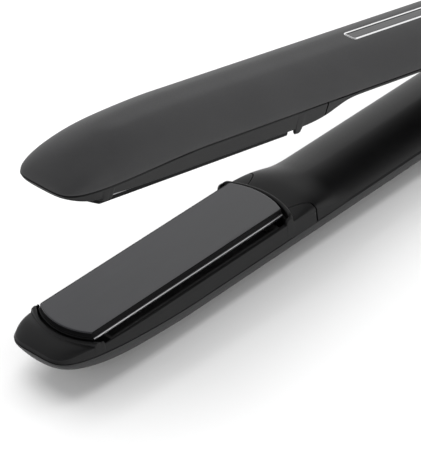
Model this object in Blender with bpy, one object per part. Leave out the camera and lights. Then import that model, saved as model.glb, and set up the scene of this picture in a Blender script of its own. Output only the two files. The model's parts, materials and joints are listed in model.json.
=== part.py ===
"""Flat iron (hair straightener): two hinged arms, each with a floating hot plate.

Every piece is drawn in the arm's own frame: x runs from the plate's front corners back to the
hinge, y runs across, and z = 0 is the flat face of the hot plate.  The lower arm lies on its back.
The upper arm is the lower arm mirrored about the hinge plane and turned open about the hinge pin.
"""
import math

import bmesh
import bpy
from mathutils import Matrix, Vector

MM = 0.001
WELD = 0.002 * MM                 # points this close are one
FLAT = math.radians(0.3)          # faces this close to one plane are one

# ---------------------------------------------------------------- hot plate
PLATE_WIDTH = 25.0 * MM
PLATE_LENGTH = 96.0 * MM          # corner to corner along the flat face
PLATE_FRONT_BOW = 4.1 * MM        # how far the front edge bows out of its chord
PLATE_REAR_BOW = 3.1 * MM
PLATE_SLAB = 2.0 * MM             # the flat-faced slab
PLATE_FLANGE = 1.2 * MM           # the wider base under it
PLATE_FLANGE_LIP = 0.6 * MM
PLATE_TRAVEL = 1.0 * MM           # how far the plate sinks on its cushions
PLATE_MEET_GAP = 0.4 * MM         # left between the two plates when the arms are shut

# ---------------------------------------------------------------- arm
ARM_WIDTH = 34.4 * MM
WALL = 1.6 * MM
SEAM_GAP = 0.3 * MM               # line left between two moulded covers
PARTING_DEPTH = 11.2 * MM         # shell edge below the plate's face
TIP_PARTING_DEPTH = 6.1 * MM
SHELL_DEPTH = 12.0 * MM           # shell crest below its edge
SHELL_ROUNDNESS = 1.85            # 2 is an ellipse
REST_FLAT_DEPTH = 0.35 * MM       # shaved off the crest so that the arm lies still
TIP_OVERHANG = 16.1 * MM          # nose in front of the plate's corners
NOSE_LENGTH = 76.0 * MM           # over which the plan view reaches full width
NOSE_SQUARENESS = 5.0
NOSE_SCOOP_LENGTH = 34.0 * MM     # over which the shell reaches full depth
NOSE_SCOOP_ROUNDNESS = 1.93
NOSE_RISE_LENGTH = 62.0 * MM      # over which the shell edge rises to the tip
TAIL_LENGTH = 14.0 * MM
TAIL_ROUNDNESS = 2.4
NOSE_RISE_POWER = 1.5
NOSE_SECTIONS = 9                 # sections through the nose, crowded towards its tip
TAIL_SECTIONS = 5
SECTION_CROWDING = 2.2
SHOULDER_STATIONS = (10.0 * MM, 24.0 * MM, 42.0 * MM)           # behind the nose scoop
SEAM_STATIONS = tuple(step * MM for step in (-1, 3, 7, 11, 16, 22, 29, 37))     # behind the plate
HANDLE_STATIONS = (60.0 * MM, 20.0 * MM)                        # before the hinge
SHELL_STEPS = 20                  # facets round a section of the shell
COVER_STEPS = 16

# ---------------------------------------------------------------- inner covers
COVER_DRAFT = 0.6 * MM            # the side band leans in by this much
RIM_DEPTH = 4.6 * MM              # top of the side wall beside the plate
RIM_WALL = 1.4 * MM
NOSE_FOOT_DEPTH = 2.9 * MM        # nose surface where it meets the front rib
BAND_DEPTH = 10.2 * MM            # upper edge of the side band along the handle
HANDLE_CREST_DEPTH = 4.4 * MM
TONGUE_CREST_DEPTH = 3.6 * MM
RIB_GAP = 1.1 * MM                # slot between the plate and its rib or ridge
RIB_WIDTH = 1.8 * MM
FRONT_RIB_DEPTH = 2.6 * MM
REAR_RIDGE_DEPTH = 1.7 * MM
REAR_RIDGE_GAP = 1.8 * MM
RIB_HALF_SPAN = 15.9 * MM
RIDGE_HALF_SPAN = 14.9 * MM
SEAM_BEHIND_PLATE = 14.6 * MM     # seam between housing and handle cover, at the sides
TONGUE_HALF_WIDTH = 12.4 * MM
COVER_END_BEFORE_HINGE = 16.4 * MM
NOSE_ARCH = 2.6                   # power of the cover's arch: 2 is an ellipse, more is flatter
RIM_ARCH = 6.0
HANDLE_ARCH = 1.65
ARCH_BLEND_START = 6.0 * MM       # before the plate's rear corners
ARCH_BLEND_END = 14.0 * MM        # behind the seam
BAND_RISE_END = -2.0 * MM         # where the low edge of the nose has become the side wall's top
BAND_FALL_LENGTH = 20.0 * MM      # behind the seam
NOSE_LIP = 0.4 * MM               # height of the nose surface above its edge at the very tip
NOSE_CROWN = 1.6
WALL_CROWN = 0.3 * MM             # how far the side wall's top rises inwards
WALL_CROWN_END = 4.0 * MM
TONGUE_RISE_LENGTH = 4.0 * MM
HANDLE_FALL_LENGTH = 30.0 * MM
LEAST_BAND = 0.2 * MM
LEAST_CROWN = 0.15 * MM
LEAST_SHOULDER = 0.9              # share of the half width
SEAM_CORNER = 2.0 * MM            # chamfer where the seam turns from the tongue to the sides
SEAM_CORNER_WIDTH = 1.8 * MM
RIB_ROOT = 2.0 * MM               # how far a rib's foot reaches below the side wall's top
HOLLOW_LID = 3.0 * MM             # how far a hollow's tool runs out past the open side
REACH = 5.0 * MM                  # how far a cutting tool runs past what it cuts
LONG_REACH = 20.0 * MM

# ---------------------------------------------------------------- hinge
HINGE_BEHIND_PLATE = 140.0 * MM   # pin behind the plate's rear corners
TAIL_OVERHANG = 13.0 * MM
OPEN_ANGLE = math.radians(12.2)
DRUM_RADIUS = 9.5 * MM
DRUM_HALF_WIDTH = 8.8 * MM
DRUM_SIDE_GAP = 0.4 * MM
CHEEK_HALF_SPAN = 15.0 * MM
PIN_RADIUS = 2.0 * MM
PIN_CLEARANCE = 0.3 * MM
CAP_RADIUS = 6.4 * MM
CAP_RECESS = 1.3 * MM
SPRING_COIL_RADIUS = 5.1 * MM
SPRING_WIRE_RADIUS = 0.85 * MM
SPRING_TURNS = 5
SPRING_FACETS = 14                # straight steps in one turn of the coil
SPRING_PITCH_GAP = 0.35 * MM
POCKET_RADIUS = 7.0 * MM
POCKET_START = -4.0 * MM          # across the drum: the pocket opens on its left face
SLAB_THICKNESS = 0.8 * MM         # slab that closes the rear of each shell
HINGE_SCREW_BEFORE_PIN = 13.0 * MM
HINGE_SCREW_Y = 9.0 * MM
HINGE_SCREW_LENGTH = 6.5 * MM
PLUG_HALF_WIDTH = 12.0 * MM       # block under the slab that plugs the shell
PLUG_BOTTOM = -15.6 * MM
PLUG_FRONT = 9.0 * MM
PLUG_REAR = 4.0 * MM
TAIL_STRAIGHT = 6.0 * MM
TAIL_OUTLINE_SECTIONS = 9
TAIL_TRIM = 0.02 * MM
FOOT_SINK = 0.4 * MM              # how far a foot is sunk into the slab it stands on
DRUM_FOOT_CUTBACK = 2.0 * MM
PIN_CHAMFER = 0.4 * MM
PIN_CHAMFER_LENGTH = 0.5 * MM
CAP_PROUD = 0.5 * MM
CAP_CHAMFER = 0.7 * MM

# ---------------------------------------------------------------- cord gland
CORD_BORE_RADIUS = 3.4 * MM
GLAND_WALL = 1.1 * MM
GLAND_CLEARANCE = 0.3 * MM
GLAND_AXIS_DEPTH = 4.2 * MM
GLAND_LENGTH = 11.5 * MM
GLAND_STAND_OFF = 1.2 * MM        # from the tail to the gland's head
GLAND_HEAD_WALL = 1.8 * MM
GLAND_HEAD_LENGTH = 4.0 * MM      # of the straight part, before the head tapers
GLAND_MOUTH_CHAMFER = 0.8 * MM
GLAND_TAPER = 1.1 * MM
COLLAR_WALL = 1.5 * MM
COLLAR_BEHIND_PIN = 10.9 * MM
COLLAR_PROUD = 0.9 * MM
COLLAR_FOOT_CUTBACK = 1.2 * MM
GLAND_INNER_BEHIND_PIN = 9.95 * MM

# ---------------------------------------------------------------- small pieces
FIT_GAP = 0.3 * MM
SCREW_RADIUS = 0.9 * MM
SCREW_HEAD_RADIUS = 1.8 * MM
SCREW_HEAD_HEIGHT = 1.2 * MM
BOSS_RADIUS = 2.6 * MM
POST_HOLE_DEPTH = 5.6 * MM
SCREW_POINT = 0.6                 # share of the radius left at the point
SCREW_CROWN = 0.7                 # share of the head's radius left on its crown
SCREW_HEAD_EDGE = 0.6             # share of the head's height that is straight
SLOT_REACH = 0.5                  # share of the head's radius
SLOT_FLOOR = 0.45                 # share of the head's height left under the slot
SLOT_HALF_WIDTH = 0.25 * MM
BUTTON_RADIUS = 4.8 * MM
BUTTON_TRAVEL = 0.6 * MM
BUTTON_BEFORE_HINGE = 28.0 * MM
BUTTON_PROUD = 0.9 * MM
BUTTON_FLANGE = 1.2 * MM          # wider than the button, so that it can't come out
BUTTON_FLANGE_DEPTH = 1.4 * MM    # below the cover's inner face
BUTTON_FLANGE_THICKNESS = 1.0 * MM
BUTTON_STEM_RADIUS = 1.4 * MM
BUTTON_EDGE = 0.5 * MM
BUTTON_EDGE_INSET = 0.6 * MM
HOLE_FLOOR = -9.0 * MM
LENS_RADIUS = 1.2 * MM
LENS_BEFORE_BUTTON = 10.0 * MM
LENS_PROUD = 0.1 * MM
LENS_EDGE = 0.3 * MM
LENS_TAPER = 0.8                  # share of the radius left at each end
INLAY_START = 139.2 * MM
INLAY_LENGTH = 66.0 * MM
INLAY_WIDTH = 6.2 * MM
INLAY_RIM = 0.55 * MM
INLAY_CORNER = 1.6 * MM
INLAY_POCKET = 1.0 * MM
INLAY_PROUD = 0.25 * MM
PANEL_SINK = 0.05 * MM
LEAST_CORNER = 0.3 * MM
CORNER_STEPS = 5

# ---------------------------------------------------------------- worked out
HALF_WIDTH = ARM_WIDTH / 2
TIP_X = -TIP_OVERHANG
HINGE_X = PLATE_LENGTH + HINGE_BEHIND_PLATE
TAIL_X = HINGE_X + TAIL_OVERHANG
HINGE_Z = PLATE_MEET_GAP / 2
SEAM_X = PLATE_LENGTH + SEAM_BEHIND_PLATE
COVER_END_X = HINGE_X - COVER_END_BEFORE_HINGE
CREST_Z = -(PARTING_DEPTH + SHELL_DEPTH - REST_FLAT_DEPTH)
GLAND_FACE_X = TAIL_X + GLAND_STAND_OFF
GLAND_END_X = GLAND_FACE_X + GLAND_LENGTH
COLOURS = {
    "shell": ((0.030, 0.030, 0.032), 0.48, 0.0),
    "cover": ((0.022, 0.022, 0.023), 0.42, 0.0),
    "plate": ((0.020, 0.020, 0.022), 0.12, 0.0),
    "ceramic": ((0.80, 0.78, 0.72), 0.60, 0.0),
    "steel": ((0.55, 0.55, 0.57), 0.30, 1.0),
    "chrome": ((0.80, 0.80, 0.82), 0.08, 1.0),
    "smoked": ((0.16, 0.16, 0.17), 0.25, 0.0),
    "silicone": ((0.45, 0.10, 0.06), 0.70, 0.0),
    "board": ((0.02, 0.16, 0.07), 0.45, 0.0),
    "insulator": ((0.05, 0.05, 0.05), 0.70, 0.0),
    "lens": ((0.85, 0.85, 0.88), 0.15, 0.0),
}


# ================================================================ tools
def clear_scene():
    for old in list(bpy.data.objects):
        bpy.data.objects.remove(old, do_unlink=True)


def material(name):
    """The named finish, made the first time it is asked for."""
    if name in bpy.data.materials:
        return bpy.data.materials[name]
    colour, roughness, metallic = COLOURS[name]
    finish = bpy.data.materials.new(name)
    finish.use_nodes = True
    shader = finish.node_tree.nodes["Principled BSDF"]
    shader.inputs["Base Color"].default_value = (*colour, 1.0)
    shader.inputs["Roughness"].default_value = roughness
    shader.inputs["Metallic"].default_value = metallic
    return finish


def mesh_object(name, points, faces, finish):
    mesh = bpy.data.meshes.new(name)
    mesh.from_pydata([tuple(p) for p in points], [], faces)
    mesh.materials.append(material(finish))
    made = bpy.data.objects.new(name, mesh)
    bpy.context.collection.objects.link(made)
    tidy = bmesh.new()
    tidy.from_mesh(mesh)
    bmesh.ops.recalc_face_normals(tidy, faces=tidy.faces)
    bmesh.ops.triangulate(tidy, faces=tidy.faces)
    tidy.to_mesh(mesh)
    tidy.free()
    return made


def weld(mesh):
    """Close the hairline slivers that a cut leaves, and rejoin faces that lie in one plane."""
    tidy = bmesh.new()
    tidy.from_mesh(mesh)
    bmesh.ops.remove_doubles(tidy, verts=tidy.verts, dist=WELD)
    bmesh.ops.dissolve_degenerate(tidy, edges=tidy.edges, dist=WELD)
    bmesh.ops.dissolve_limit(tidy, angle_limit=FLAT, verts=tidy.verts, edges=tidy.edges)
    bmesh.ops.triangulate(tidy, faces=tidy.faces)
    tidy.to_mesh(mesh)
    tidy.free()


def loft(name, rings, finish, start_point=None, end_point=None):
    """A closed solid through rings of equal count, its ends capped flat or drawn to a point."""
    count = len(rings[0])
    points = [p for ring in rings for p in ring]
    faces = []
    for i in range(len(rings) - 1):
        a, b = i * count, (i + 1) * count
        for j in range(count):
            k = (j + 1) % count
            faces.append((a + j, a + k, b + k, b + j))
    last = (len(rings) - 1) * count
    for point, base in ((start_point, 0), (end_point, last)):
        if point is None:
            faces.append(tuple(range(base, base + count)))
            continue
        points.append(point)
        for j in range(count):
            faces.append((base + j, base + (j + 1) % count, len(points) - 1))
    return mesh_object(name, points, faces, finish)


def prism(name, outline, z_low, z_high, finish):
    """An (x, y) outline drawn up from z_low to z_high."""
    rings = [[(x, y, z) for x, y in outline] for z in (z_low, z_high)]
    return loft(name, rings, finish)


def box(name, low, high, finish):
    (x0, y0, z0), (x1, y1, z1) = low, high
    return prism(name, [(x0, y0), (x1, y0), (x1, y1), (x0, y1)], z0, z1, finish)


def turned(name, axis, centre, profile, finish, sides=28):
    """A solid of revolution: profile holds (distance along the axis, radius) from end to end."""
    along = Vector({"x": (1, 0, 0), "y": (0, 1, 0), "z": (0, 0, 1)}[axis])
    across = Vector({"x": (0, 1, 0), "y": (0, 0, 1), "z": (1, 0, 0)}[axis])
    third = along.cross(across)
    rings = []
    for distance, radius in profile:
        ring = []
        for j in range(sides):
            turn = math.tau * (j + 0.5) / sides
            spoke = across * math.cos(turn) + third * math.sin(turn)
            ring.append(Vector(centre) + along * distance + spoke * radius)
        rings.append(ring)
    return loft(name, rings, finish)


def rod(name, axis, centre, start, end, radius, finish, sides=28):
    return turned(name, axis, centre, [(start, radius), (end, radius)], finish, sides)


def tube(name, path, radius, finish, sides=6):
    """A round wire along a list of points."""
    path = [Vector(p) for p in path]
    rings = []
    side = None
    for i, point in enumerate(path):
        ahead = (path[min(i + 1, len(path) - 1)] - path[max(i - 1, 0)]).normalized()
        if side is None:
            side = ahead.orthogonal()
        side = (side - ahead * side.dot(ahead)).normalized()
        third = ahead.cross(side)
        ring = []
        for j in range(sides):
            turn = math.tau * j / sides
            ring.append(point + (side * math.cos(turn) + third * math.sin(turn)) * radius)
        rings.append(ring)
    return loft(name, rings, finish)


def combine(target, tools, operation):
    """Join the tools to the target, cut them out of it, or keep what they share."""
    for tool in tools:
        step = target.modifiers.new("step", "BOOLEAN")
        step.operation = operation
        step.solver = "EXACT"
        step.object = tool
    bpy.context.view_layer.update()
    graph = bpy.context.evaluated_depsgraph_get()
    shaped = bpy.data.meshes.new_from_object(target.evaluated_get(graph))
    weld(shaped)
    target.modifiers.clear()
    target.data = shaped
    for tool in tools:
        bpy.data.objects.remove(tool, do_unlink=True)
    return target


def join(target, *tools):
    return combine(target, tools, "UNION")


def cut(target, *tools):
    return combine(target, tools, "DIFFERENCE")


def keep(target, *tools):
    return combine(target, tools, "INTERSECT")


def set_in_arm(piece, arm):
    """Put a piece drawn in the arm's frame into the lower arm, or mirrored into the upper arm."""
    if arm["upper"]:
        mirror = Matrix.Translation((-HINGE_X, 0, HINGE_Z)) @ Matrix.Diagonal((1, 1, -1, 1))
        piece.data.transform(mirror)
        piece.data.flip_normals()
    piece.data.shade_smooth()
    piece.data.set_sharp_from_angle(angle=math.radians(35))
    piece.parent = arm["frame"]
    return piece


def own_origin(piece, point):
    """Move a piece's origin to a point of its arm's frame without moving the piece."""
    piece.data.transform(Matrix.Translation(-Vector(point)))
    piece.location = point
    return piece


# ================================================================ the arm's form
def swell(distance, length, power):
    """Grows from 0 at a rounded end to 1 at the full section."""
    share = min(max(distance / length, 0.0), 1.0)
    return (1 - (1 - share) ** power) ** (1 / power)


def ease(x, start, end):
    share = min(max((x - start) / (end - start), 0.0), 1.0)
    return share * share * (3 - 2 * share)


def half_width(x, inset=0.0):
    nose = swell(x - TIP_X - inset, NOSE_LENGTH, NOSE_SQUARENESS)
    tail = swell(TAIL_X - inset - x, TAIL_LENGTH, TAIL_ROUNDNESS)
    return (HALF_WIDTH - inset) * nose * tail


def shell_depth(x, inset=0.0):
    nose = swell(x - TIP_X - inset, NOSE_SCOOP_LENGTH, NOSE_SCOOP_ROUNDNESS)
    tail = swell(TAIL_X - inset - x, TAIL_LENGTH, TAIL_ROUNDNESS)
    return (SHELL_DEPTH - inset) * nose * tail


def parting_z(x):
    rise = max(1 - (x - TIP_X) / NOSE_RISE_LENGTH, 0.0) ** NOSE_RISE_POWER
    return -PARTING_DEPTH + (PARTING_DEPTH - TIP_PARTING_DEPTH) * rise


def band_z(x):
    """Upper edge of the cover's side band."""
    tip = -TIP_PARTING_DEPTH + 2 * SEAM_GAP
    front = tip + (-RIM_DEPTH - tip) * ease(x, TIP_X, BAND_RISE_END)
    return front + (RIM_DEPTH - BAND_DEPTH) * ease(x, PLATE_LENGTH, SEAM_X + BAND_FALL_LENGTH)


def crest_z(x):
    """Height of the cover on its centre line."""
    nose_end = band_z(TIP_X) + NOSE_LIP
    foot_x = -PLATE_FRONT_BOW - RIB_GAP - RIB_WIDTH
    front = nose_end + (-NOSE_FOOT_DEPTH - nose_end) * swell(x - TIP_X, foot_x - TIP_X, NOSE_CROWN)
    wall = front + (-RIM_DEPTH + WALL_CROWN - front) * ease(x, foot_x, WALL_CROWN_END)
    tongue = wall + (-TONGUE_CREST_DEPTH - wall) * ease(x, PLATE_LENGTH, SEAM_X + TONGUE_RISE_LENGTH)
    fall = ease(x, SEAM_X, SEAM_X + HANDLE_FALL_LENGTH)
    return tongue + (TONGUE_CREST_DEPTH - HANDLE_CREST_DEPTH) * fall


def arch_power(x):
    """2 is a round arch; a large value is a flat top with square shoulders."""
    front = NOSE_ARCH + (RIM_ARCH - NOSE_ARCH) * ease(x, TIP_X, 0.0)
    return front + (HANDLE_ARCH - front) * ease(x, PLATE_LENGTH - ARCH_BLEND_START, SEAM_X + ARCH_BLEND_END)


def arch(width, height, power, steps):
    """(across, up) points of a rounded arch from the right foot over to the left foot."""
    made = []
    for i in range(steps + 1):
        turn = math.pi * i / steps
        reach = abs(math.cos(turn)) ** (2 / power) * math.copysign(1, math.cos(turn))
        made.append((width * reach, height * math.sin(turn) ** (2 / power)))
    made[-1] = (-width, 0.0)
    return made


def nose_stations(start, end, count):
    """Stations crowded towards the rounded start."""
    return [start + (end - start) * (i / count) ** SECTION_CROWDING for i in range(1, count + 1)]


def arm_stations(inset, end):
    """Stations along the arm, close together where its form changes."""
    start = TIP_X + inset
    made = nose_stations(start, TIP_X + NOSE_SCOOP_LENGTH, NOSE_SECTIONS)
    made += [TIP_X + NOSE_SCOOP_LENGTH + step for step in SHOULDER_STATIONS]
    made += [PLATE_LENGTH + step for step in SEAM_STATIONS]
    made += [HINGE_X - step for step in HANDLE_STATIONS if HINGE_X - step < end]
    return made


def tail_stations(inset, count):
    end = TAIL_X - inset
    return [end - TAIL_LENGTH * (1 - i / count) ** SECTION_CROWDING for i in range(count)]


# ================================================================ shells and covers
def shell_ring(x, inset, lid):
    """Section of the shell at x; lid is how far the section reaches above the shell's edge."""
    depth = shell_depth(x, inset)
    floor = SHELL_DEPTH - inset - REST_FLAT_DEPTH
    edge = parting_z(x)
    section = arch(half_width(x, inset), depth, SHELL_ROUNDNESS, SHELL_STEPS)
    ring = [(x, y, edge - min(z, floor)) for y, z in section]
    if lid:
        ring = [(x, half_width(x, inset), edge + lid)] + ring + [(x, -half_width(x, inset), edge + lid)]
    return ring


def shell_solid(name, inset, lid, finish):
    stations = arm_stations(inset, TAIL_X) + tail_stations(inset, TAIL_SECTIONS)
    rings = [shell_ring(x, inset, lid) for x in stations]
    front, rear = TIP_X + inset, TAIL_X - inset
    return loft(name, rings, finish, (front, 0, parting_z(front)), (rear, 0, parting_z(rear)))


def boss(name, x, y, top):
    """Screw post standing on the inside of the shell."""
    inset = WALL / 2
    floors = []
    for end in (x - BOSS_RADIUS, x + BOSS_RADIUS):
        reach = min((abs(y) + BOSS_RADIUS) / half_width(end, inset), 1.0)
        fall = (1 - reach ** SHELL_ROUNDNESS) ** (1 / SHELL_ROUNDNESS)
        depth = min(shell_depth(end, inset) * fall, SHELL_DEPTH - inset - REST_FLAT_DEPTH)
        floors.append(parting_z(end) - depth)
    return rod(name, "z", (x, y, 0), max(floors), top, BOSS_RADIUS, "shell", 12)


def make_outer_shell(arm):
    shell = shell_solid(arm["name"] + "_outer_shell", 0.0, 0.0, "shell")
    cut(shell, shell_solid("hollow", WALL, HOLLOW_LID, "shell"))
    posts = [boss("post", x, y, top) for x, y, top in arm["posts"]]
    if posts:
        join(shell, *posts)
    holes = [
        rod("hole", "z", (x, y, 0), top - POST_HOLE_DEPTH, top + MM, SCREW_RADIUS + FIT_GAP, "shell", 10)
        for x, y, top in arm["posts"]
    ]
    cut(shell, *holes)
    if arm["upper"]:
        cut(shell, inlay_slab("pocket", 0.0, CREST_Z - MM, CREST_Z + INLAY_POCKET, "shell"))
    return set_in_arm(shell, arm)


def cover_ring(x, inset, drop):
    edge = parting_z(x) + SEAM_GAP
    wide = half_width(x, inset)
    shoulder = max(wide - COVER_DRAFT, wide * LEAST_SHOULDER)
    band = max(band_z(x), edge + LEAST_BAND)
    height = max(crest_z(x) - band, LEAST_CROWN)
    foot = edge if not drop else edge - HOLLOW_LID
    top = [(x, y, band + z - drop) for y, z in arch(shoulder, height, arch_power(x), COVER_STEPS)]
    return [(x, wide, foot)] + top + [(x, -wide, foot)]


def cover_solid(name, inset, drop, finish):
    end = COVER_END_X - inset
    rings = [cover_ring(x, inset, drop) for x in arm_stations(inset, end) + [end]]
    front = TIP_X + inset
    return loft(name, rings, finish, (front, 0, parting_z(front) + SEAM_GAP - drop))


def bow_radius(chord, bow):
    return ((chord / 2) ** 2 + bow ** 2) / (2 * bow)


def front_arc(offset, half_span, steps=10):
    """Points on the plate's front bow moved out by offset, from -half_span to +half_span."""
    radius = bow_radius(PLATE_WIDTH, PLATE_FRONT_BOW)
    centre = radius - PLATE_FRONT_BOW
    made = []
    for i in range(steps + 1):
        y = -half_span + 2 * half_span * i / steps
        made.append((centre - math.sqrt((radius + offset) ** 2 - y * y), y))
    return made


def rear_arc(offset, half_span, steps=10):
    radius = bow_radius(PLATE_WIDTH, PLATE_REAR_BOW)
    centre = PLATE_LENGTH + PLATE_REAR_BOW - radius
    made = []
    for i in range(steps + 1):
        y = half_span - 2 * half_span * i / steps
        made.append((centre + math.sqrt((radius + offset) ** 2 - y * y), y))
    return made


def bowed_outline(offset, half_span):
    """Outline with the plate's front and rear bows moved out by offset."""
    return front_arc(offset, half_span) + rear_arc(offset, half_span)


def band_prism(name, inner, outer, z_low, z_high, finish):
    return prism(name, inner + outer[::-1], z_low, z_high, finish)


def seam_outline(clearance, x_far):
    """Plan outline on one side of the seam between the plate housing and the handle cover."""
    far = 2 * HALF_WIDTH
    side = SEAM_X + clearance
    shoulder = TONGUE_HALF_WIDTH - clearance
    turn = side - SEAM_CORNER
    path = [(side, far), (side, shoulder + SEAM_CORNER_WIDTH), (turn, shoulder)]
    path += rear_arc(REAR_RIDGE_GAP + RIB_WIDTH + SEAM_GAP + clearance, shoulder - SEAM_CORNER)
    path += [(turn, -shoulder), (side, -shoulder - SEAM_CORNER_WIDTH), (side, -far)]
    return path + [(x_far, -far), (x_far, far)]


def nose_plan(inset):
    """Plan outline of the nose, inset from its side."""
    stations = [x for x in arm_stations(inset, 0.0) if x < PLATE_LENGTH / 2]
    right = [(x, half_width(x) - inset) for x in stations if half_width(x) > 2 * inset]
    return right + [(x, -y) for x, y in right[::-1]]


def make_covers(arm):
    """One moulded form, split at the seam into plate housing and handle cover."""
    covers = []
    for piece in ("plate_housing", "handle_cover"):
        cover = cover_solid(arm["name"] + "_" + piece, 0.0, 0.0, "cover")
        cut(cover, cover_solid("hollow", RIM_WALL, RIM_WALL, "cover"))
        covers.append(cover)
    housing, handle = covers
    below, above = -PARTING_DEPTH - REACH, REACH
    keep(housing, prism("front_side", seam_outline(0.0, TIP_X - REACH), below, above, "cover"))
    cut(housing, prism("window", bowed_outline(RIB_GAP, HALF_WIDTH - COVER_DRAFT - RIM_WALL),
                       below, above, "cover"))
    rib = band_prism("rib", front_arc(RIB_GAP, RIB_HALF_SPAN), front_arc(RIB_GAP + RIB_WIDTH, RIB_HALF_SPAN),
                     -RIM_DEPTH - RIB_ROOT, -FRONT_RIB_DEPTH, "cover")
    keep(rib, prism("plan", nose_plan(COVER_DRAFT), below, above, "cover"))
    ridge = band_prism("ridge", rear_arc(REAR_RIDGE_GAP, RIDGE_HALF_SPAN),
                       rear_arc(REAR_RIDGE_GAP + RIB_WIDTH, RIDGE_HALF_SPAN),
                       -RIM_DEPTH - RIB_ROOT, -REAR_RIDGE_DEPTH, "cover")
    join(housing, rib, ridge)
    keep(handle, prism("rear_side", seam_outline(SEAM_GAP, COVER_END_X + REACH), below, above, "cover"))
    if not arm["upper"]:
        cut(handle,
            rod("button_hole", "z", (BUTTON_X, 0, 0), HOLE_FLOOR, MM, BUTTON_RADIUS + FIT_GAP, "cover"),
            rod("lens_hole", "z", (LENS_X, 0, 0), HOLE_FLOOR, MM, LENS_RADIUS + FIT_GAP, "cover", 16))
    set_in_arm(housing, arm)
    set_in_arm(handle, arm)


# ================================================================ hot plate and what carries it
ELEMENT_TOP = -(PLATE_SLAB + PLATE_FLANGE + FIT_GAP)
ELEMENT_THICKNESS = 1.6 * MM
ELEMENT_LENGTH = 70.0 * MM
ELEMENT_WIDTH = 14.0 * MM
CLAMP_TOP = ELEMENT_TOP - ELEMENT_THICKNESS - FIT_GAP
CLAMP_THICKNESS = 0.6 * MM
CLAMP_BOTTOM = CLAMP_TOP - CLAMP_THICKNESS
TRAY_FLOOR = -10.8 * MM
TRAY_WALL = 1.0 * MM
TRAY_SIDE_GAP = 1.8 * MM
TRAY_HALF_WIDTH = HALF_WIDTH - COVER_DRAFT - RIM_WALL - TRAY_SIDE_GAP
TRAY_START = 8.0 * MM
TRAY_END = PLATE_LENGTH - 1.5 * MM
TRAY_RIM = -RIM_DEPTH - 2.2 * MM
SLOT_HALF = 4.0 * MM              # opening in the tray's floor under the thermal fuse
CUSHION_TOP = CLAMP_BOTTOM - PLATE_TRAVEL - FIT_GAP
FUSE_RADIUS = 1.5 * MM
FUSE_LENGTH = 9.0 * MM
TRAY_SCREWS = (TRAY_START + 5.0 * MM, TRAY_END - 8.0 * MM)
TRAY_SCREW_LENGTH = 5.5 * MM
CUSHION_INSET = 24.0 * MM
CUSHION_X = (CUSHION_INSET, PLATE_LENGTH - CUSHION_INSET)
CUSHION_HALF = 5.0 * MM
DIMPLE_RADIUS = 3.0 * MM
DIMPLE_DEPTH = 1.2 * MM
CLAMP_REACH = 3.5 * MM            # longer than the element at each end
CLAMP_SIDE = 2.0 * MM             # wider than the element on each side
CLAMP_RAIL = 1.0 * MM
SLAB_SINK = 0.2 * MM              # overlap of the slab and its flange before they are joined
BUTTON_X = HINGE_X - BUTTON_BEFORE_HINGE
LENS_X = BUTTON_X - LENS_BEFORE_BUTTON


def make_hot_plate(arm):
    half = PLATE_WIDTH / 2
    plate = prism(arm["name"] + "_hot_plate", bowed_outline(0.0, half), -PLATE_SLAB - SLAB_SINK, 0.0,
                  "plate")
    join(plate, prism("flange", bowed_outline(PLATE_FLANGE_LIP, half + PLATE_FLANGE_LIP),
                      -PLATE_SLAB - PLATE_FLANGE, -PLATE_SLAB, "plate"))
    set_in_arm(plate, arm)
    middle = PLATE_LENGTH / 2
    reach = ELEMENT_LENGTH / 2
    element = box(arm["name"] + "_heater_element",
                  (middle - reach, -ELEMENT_WIDTH / 2, ELEMENT_TOP - ELEMENT_THICKNESS),
                  (middle + reach, ELEMENT_WIDTH / 2, ELEMENT_TOP), "ceramic")
    set_in_arm(element, arm)
    clamp_reach = reach + CLAMP_REACH
    clamp_half = ELEMENT_WIDTH / 2 + CLAMP_SIDE
    clamp = box(arm["name"] + "_element_clamp", (middle - clamp_reach, -clamp_half, CLAMP_BOTTOM),
                (middle + clamp_reach, clamp_half, CLAMP_TOP), "steel")
    for low, high in ((-clamp_half, -clamp_half + CLAMP_RAIL), (clamp_half - CLAMP_RAIL, clamp_half)):
        rail = box("rail", (middle - clamp_reach, low, CLAMP_BOTTOM),
                   (middle + clamp_reach, high, ELEMENT_TOP), "steel")
        join(clamp, rail)
    set_in_arm(clamp, arm)
    fuse = rod(arm["name"] + "_thermal_fuse", "x",
               (middle, 0, CLAMP_BOTTOM - FIT_GAP - FUSE_RADIUS),
               -FUSE_LENGTH / 2, FUSE_LENGTH / 2, FUSE_RADIUS, "ceramic", 16)
    set_in_arm(fuse, arm)


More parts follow.
